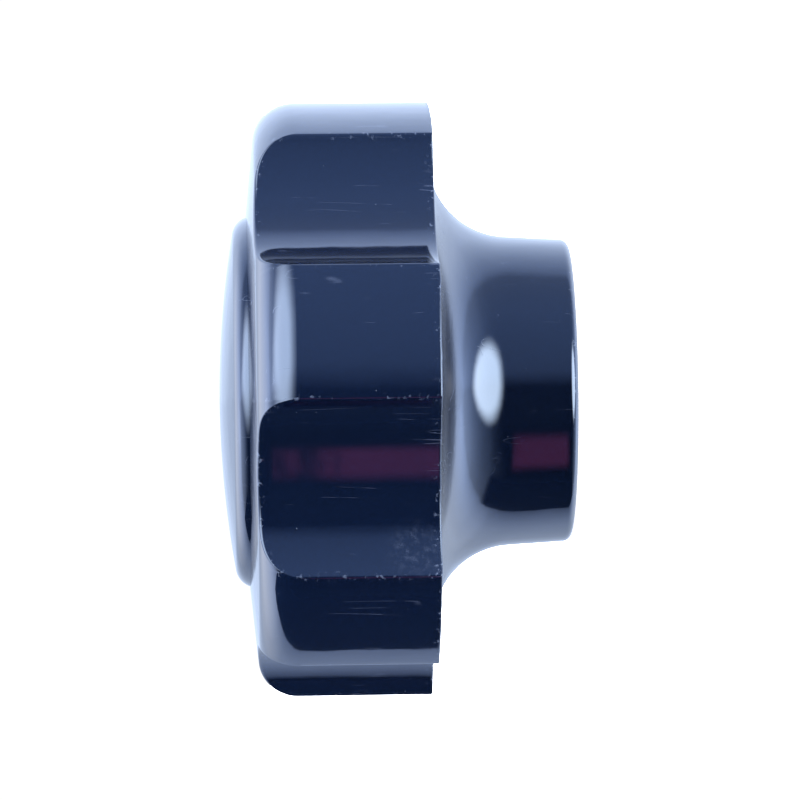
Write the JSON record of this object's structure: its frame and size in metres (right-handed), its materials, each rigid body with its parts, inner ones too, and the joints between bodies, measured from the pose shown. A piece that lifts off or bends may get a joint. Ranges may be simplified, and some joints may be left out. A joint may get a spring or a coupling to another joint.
{
  "type": "hand knob nut",
  "caption": "Round fluted hand knob nut in glossy black moulded plastic, with a domed cap and a flared hub that holds a blind threaded metal insert.",
  "frame": {"origin": "centre of the threaded hole's mouth, in the plane of the hub's flat end face", "axes": "+Z along the thread axis, from the hub towards the domed cap; +X through the middle of a lobe"},
  "size_m": [0.05, 0.0478, 0.0293],
  "materials": {
    "grip": "glossy, moulded",
    "cap": "glossy, moulded",
    "insert": "machined"
  },
  "bodies": {
    "root": {"grip_body": "grip", "threaded_insert": "insert", "cover_cap": "cap"}
  },
  "joints": []
}
